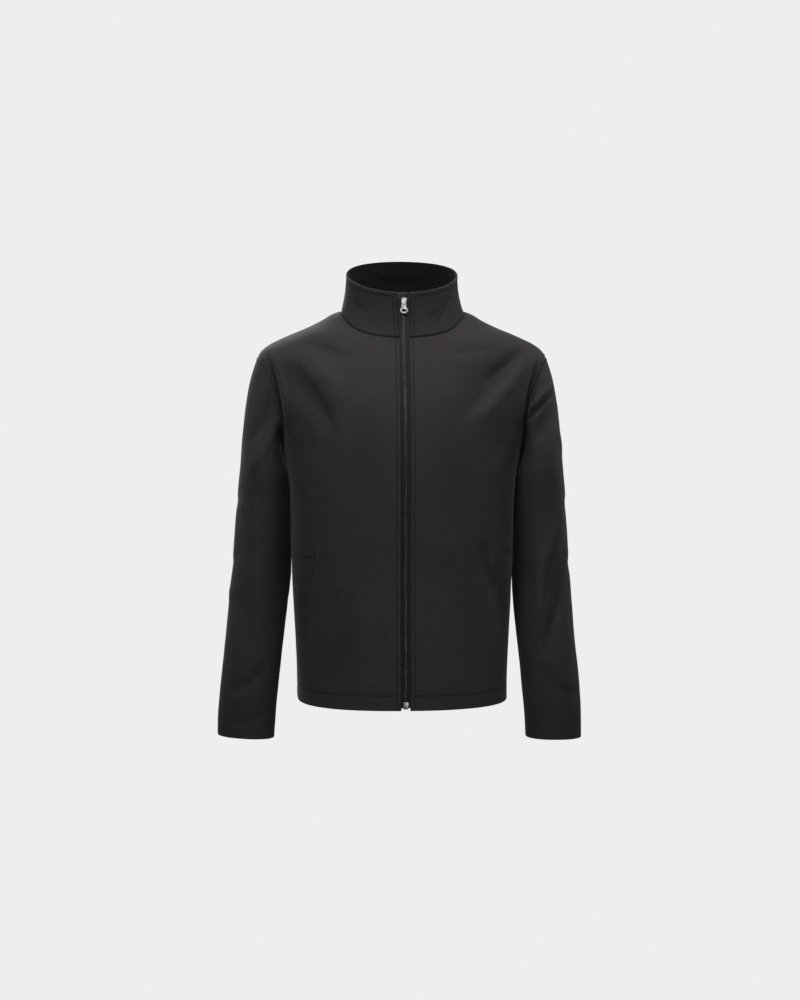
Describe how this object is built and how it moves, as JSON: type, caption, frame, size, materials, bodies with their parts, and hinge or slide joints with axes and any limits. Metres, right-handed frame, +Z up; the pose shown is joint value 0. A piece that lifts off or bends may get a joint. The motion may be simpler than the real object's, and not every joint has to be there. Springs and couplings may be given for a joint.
{
  "type": "softshell jacket",
  "caption": "Men's softshell jacket, hollow and filled out as if worn, with a stand collar, long set-in sleeves, slanted hand pockets and a full-length front zip.",
  "frame": {"origin": "middle of the neck opening, level with the neck ends of the shoulder seams, where a wearer's neck and shoulders hold the jacket up", "axes": "+Z up along the body, -Y out of the front, +X to the wearer's left"},
  "size_m": [0.6365, 0.2819, 0.8333],
  "materials": {
    "softshell": "matte black bonded polyester softshell, fine plain weave",
    "fleece": "black short-pile fleece",
    "zip_tape": "black woven polyester tape",
    "zip_teeth": "glossy black moulded plastic",
    "zip_metal": "nickel-plated zinc, polished"
  },
  "bodies": {
    "garment": {"front_left": "softshell", "front_right": "softshell", "back": "softshell", "sleeve_left": "softshell", "sleeve_right": "softshell", "collar": "softshell", "collar_facing": "fleece", "pocket_welt_left": "softshell", "pocket_welt_right": "softshell", "zip_guard": "softshell", "zip_tape_left": "zip_tape", "zip_tape_right": "zip_tape", "zip_teeth_left": "zip_teeth", "zip_teeth_right": "zip_teeth", "zip_slider": "zip_metal", "zip_end_box": "zip_metal"},
    "pull_tab": {"zip_pull_tab": "zip_metal"}
  },
  "joints": [
    {"name": "pull_tab_swing", "type": "hinge", "parent": "garment", "child": "pull_tab", "pos_m": [0, -0.07475, 0.01288], "axis": [-1, 0, 0], "range_deg": [0, 165]}
  ]
}
